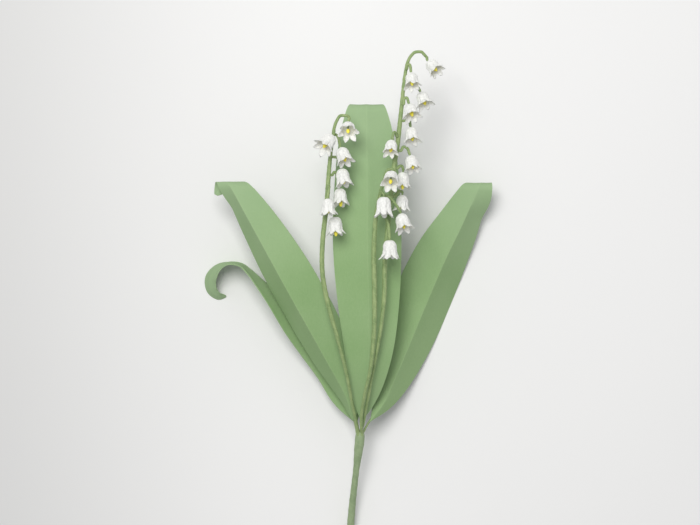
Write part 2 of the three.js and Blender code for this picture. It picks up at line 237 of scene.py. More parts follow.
class Graph:
    """A node tree, with a short way to add nodes and feed their inputs."""

    def __init__(self, tree: bpy.types.NodeTree) -> None:
        """Keep the tree that nodes are added to."""
        self.tree = tree

    @classmethod
    def group(cls, name: str, kind: TreeKind) -> "Graph":
        """Start an empty node group of one kind."""
        return cls(bpy.data.node_groups.new(name, kind.value))

    def socket(self, name: str, way: str, kind: str, value: Any = None) -> None:
        """Add an input or output to a group.

        Args:
            name: the socket's name.
            way: INPUT or OUTPUT.
            kind: the socket's type, such as Float or Geometry.
            value: the value it has when nothing feeds it.
        """
        made = self.tree.interface.new_socket(
            name=name, in_out=way, socket_type="NodeSocket" + kind)
        if value is not None:
            made.default_value = value

    def add(self, kind: str, feeds: dict[Any, Any] | None = None,
            **settings: Any) -> bpy.types.Node:
        """Add a node.

        Args:
            kind: the node's type.
            feeds: what each input gets, by name or number: a value, a socket or a Field.
            settings: the node's own settings.

        Returns:
            The new node.
        """
        node = self.tree.nodes.new(kind)
        for key, value in settings.items():
            setattr(node, key, value)
        for key, value in (feeds or {}).items():
            self.feed(node.inputs[key], value)
        return node

    def feed(self, socket: bpy.types.NodeSocket, value: Any) -> None:
        """Give one input a value, or link it to a socket or a Field."""
        if isinstance(value, Field):
            value = value.socket
        if isinstance(value, bpy.types.NodeSocket):
            self.tree.links.new(value, socket)
        else:
            socket.default_value = value

    def field(self, kind: str, feeds: dict[Any, Any] | None = None, out: Any = 0,
              **settings: Any) -> "Field":
        """Add a node and return one of its outputs as a Field."""
        return Field(self, self.add(kind, feeds, **settings).outputs[out])

    def inputs(self, *names: str) -> list["Field"]:
        """Return named inputs of the group as Fields."""
        node = self.tree.nodes.new("NodeGroupInput")
        return [Field(self, node.outputs[name]) for name in names]

    def use(self, group: bpy.types.NodeTree, feeds: dict[Any, Any]) -> dict[str, "Field"]:
        """Place a shader group with its own values and return its outputs by name."""
        node = self.tree.nodes.new("ShaderNodeGroup")
        node.node_tree = group
        for key, value in feeds.items():
            self.feed(node.inputs[key], value)
        return {socket.name: Field(self, socket) for socket in node.outputs}

    def parts(self, vector: Any) -> list["Field"]:
        """Return a vector's three numbers."""
        node = self.add("ShaderNodeSeparateXYZ", {0: vector})
        return [Field(self, socket) for socket in node.outputs]

    def painted(self, name: str) -> list["Field"]:
        """Return the three numbers that a mesh keeps under a name, for a shader."""
        return self.parts(self.add("ShaderNodeAttribute", attribute_name=name).outputs["Vector"])

    def read(self, name: str) -> "Field":
        """Return a number that the geometry keeps under a name."""
        return self.field("GeometryNodeInputNamedAttribute", {"Name": name},
                          out="Attribute", data_type="FLOAT")

    def store(self, geometry: Any, name: str, value: Any, kind: str = "FLOAT") -> "Field":
        """Return the geometry with a value kept on its points under a name."""
        return self.field("GeometryNodeStoreNamedAttribute", {
            "Geometry": geometry, "Name": name, "Value": value},
            data_type=kind, domain="POINT")

    def deliver(self, geometry: Any, material: Any) -> None:
        """Put out the geometry, smooth, made real and with its material."""
        smooth = self.field("GeometryNodeSetShadeSmooth", {"Geometry": geometry})
        real = self.field("GeometryNodeRealizeInstances", {0: smooth})
        self.add("NodeGroupOutput", {0: self.field(
            "GeometryNodeSetMaterial", {0: real, "Material": material})})

    def mixed(self, share: Any, first: Any, second: Any) -> "Field":
        """Return a colour between two others, by a share."""
        return self.field("ShaderNodeMix", {0: share, 6: first, 7: second}, out=2,
                          data_type="RGBA")

    def vector(self, x: Any, y: Any, z: Any) -> "Field":
        """Return a vector made of three numbers."""
        return self.field("ShaderNodeCombineXYZ", {0: x, 1: y, 2: z})


class Field:
    """A value inside a node tree that plain arithmetic can be written with."""

    def __init__(self, graph: Graph, socket: bpy.types.NodeSocket) -> None:
        """Keep the tree and the socket that holds the value."""
        self.graph = graph
        self.socket = socket

    def run(self, operation: str, *others: Any) -> "Field":
        """Return the result of a Math node on this number and others."""
        feeds = dict(enumerate((self, *others)))
        return self.graph.field("ShaderNodeMath", feeds, operation=operation)

    def __add__(self, other: Any) -> "Field":
        """Return the sum."""
        return self.run("ADD", other)

    def __sub__(self, other: Any) -> "Field":
        """Return the difference."""
        return self.run("SUBTRACT", other)

    def __mul__(self, other: Any) -> "Field":
        """Return the product."""
        return self.run("MULTIPLY", other)

    def __truediv__(self, other: Any) -> "Field":
        """Return the quotient."""
        return self.run("DIVIDE", other)

    def __rsub__(self, other: float) -> "Field":
        """Return a plain number less this one."""
        return self.graph.field("ShaderNodeMath", {0: other, 1: self}, operation="SUBTRACT")

    def __pow__(self, other: Any) -> "Field":
        """Return this number raised to a power."""
        return self.run("POWER", other)

    __radd__ = __add__
    __rmul__ = __mul__

    def step(self, low: Any, high: Any) -> "Field":
        """Return a smooth step from 0 at low to 1 at high."""
        return self.graph.field("ShaderNodeMapRange", {0: self, 1: low, 2: high},
                                interpolation_type="SMOOTHSTEP")


def grown(source: bpy.types.Object, tree: bpy.types.NodeTree, name: str,
          values: dict[str, Any]) -> bpy.types.Object:
    """Run a geometry tree on an object and keep the result as a plain mesh.

    Args:
        source: the object that the tree starts from, which is removed.
        tree: the geometry node group.
        name: the finished piece's name.
        values: the group's inputs by name.

    Returns:
        The finished piece.
    """
    modifier = source.modifiers.new("grow", "NODES")
    modifier.node_group = tree
    for item in tree.interface.items_tree:
        if item.item_type == "SOCKET" and item.in_out == "INPUT" and item.name in values:
            modifier[item.identifier] = values[item.name]
    bpy.context.view_layer.update()
    evaluated = source.evaluated_get(bpy.context.evaluated_depsgraph_get())
    mesh = bpy.data.meshes.new_from_object(evaluated)
    mesh.name = name
    bpy.data.objects.remove(source)
    return new_object(name, mesh)


# ---- shared shader effects -----------------------------------------------------------


def paper_fibre_group() -> bpy.types.NodeTree:
    """Make the group that gives paper its fibres and its soft uneven tone.

    Returns:
        A group with Grain, Tone and Height outputs, each from 0 to 1.
    """
    graph = Graph.group("paper_fibre", TreeKind.SHADER)
    graph.socket("Fibre Scale", "INPUT", "Float", 1800.0)
    graph.socket("Tone Scale", "INPUT", "Float", 30.0)
    for name in ("Grain", "Tone", "Height"):
        graph.socket(name, "OUTPUT", "Float")
    fibre, tone = graph.inputs("Fibre Scale", "Tone Scale")
    place = graph.add("ShaderNodeTexCoord").outputs["Object"]
    streaks = graph.add("ShaderNodeMapping", {"Vector": place, "Scale": (1.0, 0.35, 1.0)})
    grain = graph.field("ShaderNodeTexNoise", {
        "Vector": streaks.outputs[0], "Scale": fibre, "Detail": 3.0, "Distortion": 1.2})
    cloud = graph.field("ShaderNodeTexNoise", {
        "Vector": place, "Scale": tone, "Detail": 2.0, "Roughness": 0.45})
    tooth = graph.field("ShaderNodeTexNoise", {
        "Vector": place, "Scale": fibre * 0.31, "Detail": 2.0})
    graph.add("NodeGroupOutput", {
        "Grain": grain.step(0.3, 0.7), "Tone": cloud.step(0.3, 0.7),
        "Height": grain * 0.55 + tooth * 0.45})
    return graph.tree


def tape_wrap_group() -> bpy.types.NodeTree:
    """Make the group that shows the turns of crepe tape bound round a wire.

    Returns:
        A group with Edge, Turn and Height outputs, each from 0 to 1.
    """
    graph = Graph.group("tape_wrap", TreeKind.SHADER)
    graph.socket("Pitch", "INPUT", "Float", 0.005)
    for name in ("Edge", "Turn", "Height"):
        graph.socket(name, "OUTPUT", "Float")
    (pitch,) = graph.inputs("Pitch")
    across, level, along = graph.painted("wrap")
    angle = level.run("ARCTAN2", across) / math.tau
    phase = (along / pitch + angle).run("FRACT")
    edge = 1.0 - phase.step(0.0, 0.12)
    crepe_place = graph.vector(across * 6.0, level * 6.0, along * 900.0)
    crepe = graph.field("ShaderNodeTexNoise", {
        "Vector": crepe_place, "Scale": 1.0, "Detail": 3.0, "Roughness": 0.6})
    turn = graph.field("ShaderNodeTexNoise", {
        "Vector": graph.vector(across, level, along * 160.0), "Scale": 1.0, "Detail": 2.0})
    graph.add("NodeGroupOutput", {
        "Edge": edge, "Turn": turn.step(0.35, 0.65), "Height": crepe * 0.6 + edge * 0.5})
    return graph.tree


@dataclass(frozen=True)
class SharedEffects:
    """The shader groups that more than one finish uses."""

    fibre: bpy.types.NodeTree
    tape: bpy.types.NodeTree


# ---- finishes ------------------------------------------------------------------------

Colour = tuple[float, float, float, float]


def new_material(name: str, roughness: float) -> tuple[bpy.types.Material, Graph, Any]:
    """Start a material whose Principled shader has its fixed values.

    Args:
        name: the material's name.
        roughness: the shader's roughness where nothing feeds it.

    Returns:
        The material, its graph and its Principled shader.
    """
    material = bpy.data.materials.new(name)
    material.use_nodes = True
    shader = material.node_tree.nodes["Principled BSDF"]
    shader.inputs["Roughness"].default_value = roughness
    return material, Graph(material.node_tree), shader


def add_bump(graph: Graph, shader: Any, height: Any, strength: float,
             distance: float) -> None:
    """Feed the shader's normal from a height.

    Args:
        graph: the material's graph.
        shader: its Principled shader.
        height: the height, from 0 to 1.
        strength: how strongly the bump shows.
        distance: the height's real size in metres.
    """
    bump = graph.add("ShaderNodeBump", {
        "Height": height, "Strength": strength, "Distance": distance})
    graph.feed(shader.inputs["Normal"], bump.outputs[0])


@dataclass(frozen=True)
class LeafPaperFinish:
    """Matt green craft paper, with a painted highlight along its crease and its edges, and
    greyer towards the tip.
    """

    deep: Colour = (0.232, 0.37, 0.16, 1.0)
    light: Colour = (0.288, 0.424, 0.208, 1.0)
    tip: Colour = (0.335, 0.455, 0.28, 1.0)
    # the painted highlight's colour, laid along the crease and along the edges
    crease: Colour = (0.42, 0.57, 0.31, 1.0)
    crease_highlight_width: float = 0.0006
    edge_highlight_width: float = 0.0005

    def build(self, effects: SharedEffects) -> bpy.types.Material:
        """Return the material, which reads each leaf's own across and along values."""
        material, graph, shader = new_material("leaf_paper", 0.78)
        shader.inputs["Specular IOR Level"].default_value = 0.3
        fibre = graph.use(effects.fibre, {"Fibre Scale": 1500.0, "Tone Scale": 26.0})
        grain = fibre["Grain"]
        across, along, width = graph.painted("leaf")
        out = across.run("ABSOLUTE")
        body = graph.mixed(fibre["Tone"] * 0.6 + grain * 0.4, self.deep, self.light)
        # the colour turns greyer and paler towards the tip
        greyer_to_tip = graph.mixed(along.step(0.45, 1.0) * 0.55, body, self.tip)
        # painted highlight: a pale line along the crease, where light catches the fold's ridge
        fold = 1.0 - (out * width).step(0.0, self.crease_highlight_width)
        creased = graph.mixed(fold * 0.14, greyer_to_tip, self.crease)
        # painted highlight: a paler rim along the leaf's edges, in the same colour as the crease
        rim = 1.0 - ((1.0 - out) * width).step(0.0, self.edge_highlight_width)
        graph.feed(shader.inputs["Base Color"], graph.mixed(rim * 0.18, creased, self.crease))
        graph.feed(shader.inputs["Roughness"], 0.72 + grain * 0.12)
        add_bump(graph, shader, fibre["Height"], 0.35, 0.00012)
        return material


@dataclass(frozen=True)
class TapeFinish:
    """Waxed green crepe tape, wound round a wire."""

    name: str
    deep: Colour
    light: Colour
    edge: Colour
    pitch: float

    def build(self, effects: SharedEffects) -> bpy.types.Material:
        """Return the material, whose turns follow each wire's own wrap values."""
        material, graph, shader = new_material(self.name, 0.6)
        wrap = graph.use(effects.tape, {"Pitch": self.pitch})
        fibre = graph.use(effects.fibre, {"Fibre Scale": 2600.0, "Tone Scale": 140.0})
        grain = fibre["Grain"]
        cover = wrap["Turn"] * 0.5 + fibre["Tone"] * 0.3 + grain * 0.2
        body = graph.mixed(cover, self.deep, self.light)
        graph.feed(shader.inputs["Base Color"],
                   graph.mixed(wrap["Edge"] * 0.55, body, self.edge))
        graph.feed(shader.inputs["Roughness"], 0.5 + grain * 0.2)
        add_bump(graph, shader, wrap["Height"] + grain * 0.3, 0.5, 0.0002)
        return material


@dataclass(frozen=True)
class BellPaperFinish:
    """Thin white paper, crumpled by hand and a little shaded in its folds.

    A faint glow stands in for the light that comes through paper this thin, and the inside near
    the crown is painted lighter.
    """

    white: Colour = (0.81, 0.81, 0.79, 1.0)
    shade: Colour = (0.64, 0.65, 0.62, 1.0)
    # painted light: a brighter colour inside near the crown, lifting the bell's own shade there
    lit_inside: Colour = (0.84, 0.85, 0.77, 1.0)
    glow: Colour = (1.0, 1.0, 0.96, 1.0)
    glow_strength: float = 0.07
    crumple_scale: float = 620.0

    def build(self, effects: SharedEffects) -> bpy.types.Material:
        """Return the material, which reads each bell's own lobe and depth values."""
        material, graph, shader = new_material("bell_paper", 0.7)
        shader.inputs["Specular IOR Level"].default_value = 0.35
        shader.inputs["Emission Color"].default_value = self.glow
        shader.inputs["Emission Strength"].default_value = self.glow_strength
        place = graph.add("ShaderNodeTexCoord").outputs["Object"]
        crumple = graph.field("ShaderNodeTexVoronoi", {
            "Vector": place, "Scale": self.crumple_scale}, out="Distance")
        fibre = graph.use(effects.fibre, {"Fibre Scale": 2400.0, "Tone Scale": 420.0})
        depth, lobe, inside = graph.painted("bell")
        # painted shade in the notches between the lobes and in the crinkle creases, with random
        # paper tone mixed in
        folds = (1.0 - lobe) * depth * 0.4 + fibre["Tone"] * 0.2
        folds = folds + crumple.step(0.25, 0.75) * 0.5
        body = graph.mixed(folds, self.white, self.shade)
        # painted light inside the bell near its crown
        graph.feed(shader.inputs["Base Color"],
                   graph.mixed((1.0 - depth.step(0.2, 0.9)) * inside, body, self.lit_inside))
        graph.feed(shader.inputs["Roughness"], 0.62 + fibre["Grain"] * 0.16)
        add_bump(graph, shader, fibre["Height"] * 0.4 - crumple * 0.8, 0.6, 0.0006)
        return material


@dataclass(frozen=True)
class StamenFinish:
    """Bright yellow grains stuck on a wire's end."""

    deep: Colour = (0.95, 0.76, 0.05, 1.0)
    bright: Colour = (1.0, 0.95, 0.13, 1.0)

    def build(self, effects: SharedEffects) -> bpy.types.Material:
        """Return the material."""
        material, graph, shader = new_material("stamen", 0.55)
        fibre = graph.use(effects.fibre, {"Fibre Scale": 1900.0, "Tone Scale": 900.0})
        grain = fibre["Grain"]
        graph.feed(shader.inputs["Base Color"],
                   graph.mixed(fibre["Tone"] * 0.5 + grain * 0.5, self.deep, self.bright))
        graph.feed(shader.inputs["Roughness"], 0.45 + grain * 0.2)
        add_bump(graph, shader, fibre["Height"], 0.8, 0.0003)
        return material


# ---- wires bound in tape -------------------------------------------------------------


def taped_wire_tree() -> bpy.types.NodeTree:
    """Make the tree that binds tape round a line whose points hold its radius.

    The tape's turns climb the wire as a helix, each with a raised leading edge, and a
    slow noise makes the binding lumpy. Each point keeps its turn and length as `wrap`.

    Returns:
        The geometry node group.
    """
    graph = Graph.group("taped_wire", TreeKind.GEOMETRY)
    graph.socket("Line", "INPUT", "Geometry")
    graph.socket("Sides", "INPUT", "Int", 20)
    graph.socket("Pitch", "INPUT", "Float", 0.005)
    graph.socket("Ridge", "INPUT", "Float", 0.0001)
    graph.socket("Lumps", "INPUT", "Float", 0.00008)
    graph.socket("Seed", "INPUT", "Float", 0.0)
    graph.socket("Tape", "INPUT", "Material")
    graph.socket("Wire", "OUTPUT", "Geometry")
    line, sides, pitch, ridge, lumps, seed, tape = graph.inputs(
        "Line", "Sides", "Pitch", "Ridge", "Lumps", "Seed", "Tape")
    course = graph.field("GeometryNodeMeshToCurve", {0: line})
    profile = graph.field("GeometryNodeCurvePrimitiveCircle", {
        "Resolution": sides, "Radius": 1.0})
    spline = graph.add("GeometryNodeSplineParameter").outputs
    tube = graph.field("GeometryNodeCurveToMesh", {
        "Curve": graph.store(course, "travel", spline["Length"]),
        "Profile Curve": graph.store(profile, "turn", spline["Factor"]),
        "Scale": graph.read("radius"), "Fill Caps": True})
    travel, turn = graph.read("travel"), graph.read("turn")
    phase = (travel / pitch + turn).run("FRACT")
    rise = (1.0 - phase) ** 3.0 * phase.step(0.0, 0.1) * ridge
    place = graph.add("GeometryNodeInputPosition").outputs[0]
    rough = graph.field("ShaderNodeTexNoise", {
        "Vector": place, "W": seed, "Scale": 650.0, "Detail": 2.0}, noise_dimensions="4D")
    swell = rise + (rough - 0.5) * 2.0 * lumps
    normal = graph.add("GeometryNodeInputNormal").outputs[0]
    push = graph.add("ShaderNodeVectorMath", {0: normal, "Scale": swell}, operation="SCALE")
    shaped = graph.field("GeometryNodeSetPosition", {
        "Geometry": tube, "Offset": push.outputs[0]})
    angle = turn * math.tau
    wrap = graph.vector(angle.run("COSINE"), angle.run("SINE"), travel)
    graph.deliver(graph.store(shaped, "wrap", wrap, "FLOAT_VECTOR"), tape)
    return graph.tree


@dataclass(frozen=True)
class WireBinder:
    """Binds wires in tape, with the tape's width, overlap and lumpiness."""

    tree: bpy.types.NodeTree
    tape: bpy.types.Material
    pitch: float
    ridge: float
    lumps: float
    sides: int

    def bind(self, name: str, path: SmoothPath, radius_at: Callable[[float], float],
             seed: float) -> bpy.types.Object:
        """Make one bound wire.

        Args:
            name: the piece's name.
            path: the wire's course in the stem's millimetres.
            radius_at: the bound wire's radius in millimetres at a share of its length.
            seed: where in the noise its lumps are taken from.

        Returns:
            The wire as a plain mesh with its tape on.
        """
        count = max(12, round(path.length / WIRE_STEP))
        shares = [i / count for i in range(count + 1)]
        mesh = bpy.data.meshes.new(name + "_line")
        points = placed(np.array([path.at(t) for t in shares]))
        mesh.from_pydata(points.tolist(), [(i, i + 1) for i in range(count)], [])
        radius = mesh.attributes.new("radius", "FLOAT", "POINT")
        radius.data.foreach_set("value", [radius_at(t) * MM for t in shares])
        return grown(new_object(name + "_line", mesh), self.tree, name, {
            "Sides": self.sides, "Pitch": self.pitch, "Ridge": self.ridge,
            "Lumps": self.lumps, "Seed": seed, "Tape": self.tape})


def wire_start(degrees: float | None) -> list[np.ndarray]:
    """Return a wire's first points, from inside the main stem's top.

    Args:
        degrees: its place on the ring of wires, or None for the middle one.

    Returns:
        Points that leave the stem's top face squarely.
    """
    angle = math.radians(degrees or 0.0)
    ring = 0.0 if degrees is None else WIRE_RING
    root = STEM_TOP + [ring * math.cos(angle), GAP, ring * math.sin(angle)]
    inward = STEM_TOP + (root - STEM_TOP) * [0.75, 0, 0.75]
    return [inward - [0, WIRE_SUNK, 0], root, root + [0, 1.2, 0]]


# ---- stems ---------------------------------------------------------------------------


@dataclass(frozen=True)
class MainStem:
    """The bundle of wires bound into one stem, plainly cut at its foot."""

    length: float = 95.0
    top: float = 3.0
    waist: float = 1.95
    cut: float = 2.3
    collar: float = 2.6

    def radius_at(self, share: float) -> float:
        """Return the stem's radius at a share of its length, from its cut foot."""
        lower = mix(self.cut, self.waist, ease(share, 0.3, 0.72))
        body = mix(lower, self.top, ease(share, 0.72, 0.94))
        return mix(body, self.collar - 0.5, ease(share, 0.965, 1.0))

    def build(self, binder: WireBinder) -> bpy.types.Object:
        """Make the stem and hand it to the frame."""
        path = SmoothPath([
            [-7.6, -self.length, self.cut], [-6.8, -74, 4], [-5, -48, 10],
            [-2.6, -25, 17.5], [-0.4, -5.5, 23.9], [0, -1.5, 24.5], STEM_TOP,
            STEM_TOP + [0, self.collar, 0.3]])
        piece = binder.bind("taped_main_stem", path, self.radius_at, 1.0)
        finish_piece(piece, Slot.TAPE, "main_stem")
        return piece


@dataclass(frozen=True)
class FlowerStem:
    """One arched wire that carries a row of bells."""

    name: str
    root_angle: float | None
    points: tuple[tuple[float, float, float], ...]
    foot: float = 0.95
    middle: float = 1.45
    tip: float = 0.9

    def path(self) -> SmoothPath:
        """Return the stem's centre line, from inside the main stem to its tip."""
        return SmoothPath([*wire_start(self.root_angle), *self.points])

    def radius_at(self, share: float) -> float:
        """Return the stem's radius at a share of its length."""
        swell = mix(self.foot, self.middle, ease(share, 0.12, 0.5))
        return mix(swell, self.tip, ease(share, 0.72, 1.0))

    def near(self, path: SmoothPath, y: float) -> tuple[np.ndarray, np.ndarray, float]:
        """Find the stem at a distance along Y.

        Args:
            path: the stem's centre line.
            y: the distance along Y, in millimetres.

        Returns:
            The point, the direction of travel and the radius there.
        """
        shares = [0.97 * i / 300 for i in range(301)]
        share = min(shares, key=lambda t: abs(path.at(t)[1] - y))
        return path.at(share), path.tangent(share), self.radius_at(share)

    def build(self, binder: WireBinder, seed: float) -> bpy.types.Object:
        """Make the stem and hand it to the frame."""
        piece = binder.bind("taped_" + self.name, self.path(), self.radius_at, seed)
        finish_piece(piece, Slot.TAPE, self.name)
        return piece


# ---- leaves --------------------------------------------------------------------------


@dataclass(frozen=True)
class Leaf:
    """A long leaf of two glued papers, creased down its middle over a wire.

    The numbers follow the leaf's CAD node: the crease's course, the outline, how far each
    half drops from the crease and how far the leaf turns about it, in degrees. Only the
    left leaf is set a little apart from its node, narrower and nearer the middle.
    """

    name: str
    spine: tuple[tuple[float, float, float], ...]
    half_width: float
    peak: float
    fullness: float
    fold: tuple[float, float]
    bank: tuple[float, float]
    settle_from: float
    wire_angle: float
    foot_taper: float = 0.03
    curl_from: float | None = None
    turn_over: tuple[float, float] | None = None
    lean_back: float = 0.0
    stands_from: float | None = None
    seed: float = 0.0

    STEPS = 200
    STATIONS = 14
    SHARP_DEGREES = 50
    ROLL_RADIUS = 5.0
    WIRE_RADIUS = 0.65
    WIRE_REACH = 0.62
    CREASE_SOFTNESS = 0.9
    HOLLOW = 0.022
    WAVE = 0.28

    def width_at(self, v: float) -> float:
        """Return half the leaf's width at a share of its length."""
        outline = math.sin(math.pi * mix(0.004, 0.997, v) ** self.peak) ** self.fullness
        return self.half_width * outline * (1 - math.exp(-(v + 0.008) / self.foot_taper))

    def bank_at(self, v: float) -> float:
        """Return how far the leaf is turned about its crease, in degrees."""
        if not self.turn_over:
            return mix(*self.bank, ease(v, self.settle_from, 0.95))
        turned = mix(*self.bank, ease(v, *self.turn_over))
        return mix(turned, self.lean_back, ease(v, self.turn_over[1], 0.92))

    def frame_at(self, path: SmoothPath, v: float) -> tuple[Any, Any, list[Any], float]:
        """Return the crease's place and the leaf's directions at a share of its length.

        Args:
            path: the crease's course.
            v: the share of its length.

        Returns:
            The centre, the face's direction, the two halves' directions and the fold.
        """
        tangent = path.tangent(v)
        level = unit(np.cross(tangent, UP))
        normal = np.cross(level, tangent)
        bank = math.radians(self.bank_at(v))
        fold = math.radians(mix(*self.fold, ease(v, self.settle_from, 0.95)))
        side = level * math.cos(bank) + normal * math.sin(bank)
        face = normal * math.cos(bank) - level * math.sin(bank)
        halves = [side * sign * math.cos(fold) - face * math.sin(fold) for sign in (-1, 1)]
        centre = path.at(v)
        if self.stands_from and self.turn_over:
            standing = self.width_at(v) * abs(halves[1][2]) + PAPER
            centre[2] = mix(centre[2], standing, ease(v, self.stands_from, self.turn_over[1]))
        return centre, face, halves, fold

    def curled(self, point: np.ndarray, paper_z: float) -> np.ndarray:
        """Roll a point past the tip's curl down and back round a level axis.

        Args:
            point: a point of the leaf.
            paper_z: the height of the middle of the paper there, in millimetres.

        Returns:
            The point, rolled round an axis one roll radius below the paper.
        """
        past = point[1] - self.curl_from
        if past <= 0:
            return point
        angle = past / self.ROLL_RADIUS
        axis_z = paper_z - self.ROLL_RADIUS
        radius = point[2] - axis_z
        return np.array([point[0], self.curl_from + radius * math.sin(angle),
                         axis_z + radius * math.cos(angle)])

    def drop(self, share: float, v: float, fold: float, width: float) -> float:
        """Return how far the paper stands off its straight half, along its face.

        Args:
            share: the place across the leaf, from -1 to 1.
            v: the share of the leaf's length.
            fold: the fold's angle in radians.
            width: half the leaf's width there.

        Returns:
            The offset in millimetres: a soft crease, a hollow half and a slow wave.
        """
        out = abs(share)
        soft = -0.5 * math.sin(fold) * math.exp(-(out * width / self.CREASE_SOFTNESS) ** 2)
        hollow = -self.HOLLOW * width * math.sin(math.pi * out ** 0.8) * ease(v, 0.05, 0.3)
        phase = self.seed + (1.7 if share > 0 else 0.0)
        wave = math.sin(11 * v + phase) + 0.6 * math.sin(23 * v + 2.1 * phase)
        settle = ease(v, 0.1, 0.3) * (1 - ease(v, 0.85, 1.0))
        return soft + hollow + self.WAVE * out ** 2 * wave * settle

    def mesh(self) -> bpy.types.Mesh:
        """Return the leaf as one thin closed sheet with its `leaf` values."""
        path = SmoothPath(self.spine)
        shares = [math.sin(math.pi / 2 * i / self.STATIONS)
                  for i in range(-self.STATIONS, self.STATIONS + 1)]
        rings, values = [], []
        for i in range(self.STEPS + 1):
            v = i / self.STEPS
            centre, face, halves, fold = self.frame_at(path, v)
            width = self.width_at(v)
            shell = PAPER / 2 / math.cos(fold)
            ring = []
            for sign, order in ((1, shares), (-1, shares[::-1])):
                for share in order:
                    half = halves[1] if share > 0 else halves[0]
                    paper = centre + half * width * abs(share)
                    point = paper + face * (self.drop(share, v, fold, width) + sign * shell)
                    if self.curl_from:
                        point = self.curled(point, paper[2])
                    ring.append(np.maximum(point, [-1e3, -1e3, 0.02]))
                    values.append((share, v, width * MM))
            rings.append(ring)
        mesh = ring_mesh(self.name, placed(np.array(rings)))
        point_attribute(mesh, "leaf", np.array(values))
        mesh.set_sharp_from_angle(angle=math.radians(self.SHARP_DEGREES))
        return mesh

    def wire_path(self) -> SmoothPath:
        """Return the course of the wire glued under the crease."""
        path = SmoothPath(self.spine)
        points = wire_start(self.wire_angle)
        stops = 7
        for i in range(stops + 1):
            v = mix(0, self.WIRE_REACH, i / stops)
            centre, face, _, fold = self.frame_at(path, v)
            clear = self.WIRE_RADIUS + GAP + PAPER
            points.append(centre - face * (clear / math.cos(fold) - 0.1))
        return SmoothPath(points)

    def build(self, paper: bpy.types.Material, binder: WireBinder) -> None:
        """Make the leaf and its wire, and hand them to the frame."""
        piece = new_object("paper_" + self.name, self.mesh())
        piece.data.materials.append(paper)
        finish_piece(piece, Slot.LEAF, self.name)
        wire = binder.bind(f"taped_{self.name}_wire", self.wire_path(),
                           lambda t: self.WIRE_RADIUS * mix(1.0, 0.7, t), self.seed)
        finish_piece(wire, Slot.TAPE, self.name + "_wire")


# ---- bells ---------------------------------------------------------------------------


def bell_tree() -> bpy.types.NodeTree:
    """Make the tree that shapes one paper bell from a rule.

    A sheet of points runs down the outside, round the rim and up the inside. Its radius
    domes out from the crown, the lobes reach down and turn out between the notches, and
    noise crinkles the paper. The bell opens along +Z from its crown at the origin.

    Returns:
        The geometry node group.
    """
    graph = Graph.group("paper_bell", TreeKind.GEOMETRY)
    graph.socket("Start", "INPUT", "Geometry")
    for name, value in (("Length", 9.3), ("Radius", 4.25), ("Hole", 0.55), ("Wall", 0.22),
                        ("Roundness", 0.5), ("Lobes", 6.0), ("Lobe Reach", 2.7),
                        ("Lobe Flare", 1.7), ("Crinkle", 0.38), ("Seed", 0.0)):
        graph.socket(name, "INPUT", "Float", value)
    graph.socket("Paper", "INPUT", "Material")
    graph.socket("Bell", "OUTPUT", "Geometry")
    length, radius, hole, wall, roundness, lobes, reach, flare, crinkle, seed, paper = (
        graph.inputs("Length", "Radius", "Hole", "Wall", "Roundness", "Lobes", "Lobe Reach",
                     "Lobe Flare", "Crinkle", "Seed", "Paper"))
    around, down = 109, 49
    grid = graph.add("GeometryNodeMeshGrid", {
        "Size X": 1.0, "Size Y": 1.0, "Vertices X": around, "Vertices Y": down})
    x, y, _ = graph.parts(graph.add("GeometryNodeInputPosition").outputs[0])
    u, q = x + 0.5, y + 0.5
    s = 1.0 - (q * 2.0 - 1.0).run("ABSOLUTE")
    inside = q.run("GREATER_THAN", 0.5)
    angle = u * math.tau
    lobe = (angle * lobes * 0.5).run("COSINE").run("ABSOLUTE") ** 0.8
    number = (u * lobes + 0.5).run("FLOOR").run("MODULO", lobes)
    chance, tilt = (graph.field("ShaderNodeTexWhiteNoise", {1: number + seed * 7.0 + start},
                                noise_dimensions="1D") for start in (0.0, 50.0))
    dome = (1.0 - (1.0 - (s / 0.5).run("MINIMUM", 1.0)) ** 2.0) ** roundness
    skirt = s.step(0.68, 1.0)
    body = hole + (radius - hole) * dome + s * s * 0.35
    fold = 1.0 - (1.0 - lobe) * s.step(0.1, 0.8) * 0.12
    thickness = inside * wall * ((1.0 - q) * 24.0).run("MINIMUM", 1.0)
    whisker = lobe ** 7.0 * skirt ** 3.0
    out = body * fold + flare * (0.5 + chance * 0.9) * lobe * skirt ** 1.6 - thickness
    out = out + whisker * 0.55
    fall = s * length + reach * (0.85 + tilt * 0.3) * lobe * skirt
    fall = fall - flare * 0.25 * lobe * skirt ** 4.0 + whisker * 0.45
    fall = fall + thickness * (1.0 - s)
    rounded = graph.vector(out * angle.run("COSINE"), out * angle.run("SINE"), fall)
    wrinkle = graph.add("ShaderNodeTexNoise", {
        "Vector": rounded, "W": seed, "Scale": 0.7, "Detail": 2.0, "Roughness": 0.6},
        noise_dimensions="4D")
    lean = graph.add("ShaderNodeVectorMath", {
        0: wrinkle.outputs["Color"], 1: (0.5, 0.5, 0.5)}, operation="SUBTRACT")
    drift = graph.add("ShaderNodeVectorMath", {
        0: lean.outputs[0], "Scale": crinkle * 4.0 * s.step(0.0, 0.35)}, operation="SCALE")
    final = graph.add("ShaderNodeVectorMath", {0: rounded, 1: drift.outputs[0]})
    values = graph.vector(s, lobe, inside)
    stored = graph.store(grid.outputs["Mesh"], "bell", values, "FLOAT_VECTOR")
    shaped = graph.field("GeometryNodeSetPosition", {
        "Geometry": stored, "Position": final.outputs[0]})
    graph.deliver(graph.field("GeometryNodeMergeByDistance", {
        "Geometry": shaped, "Distance": 0.004}), paper)
    return graph.tree


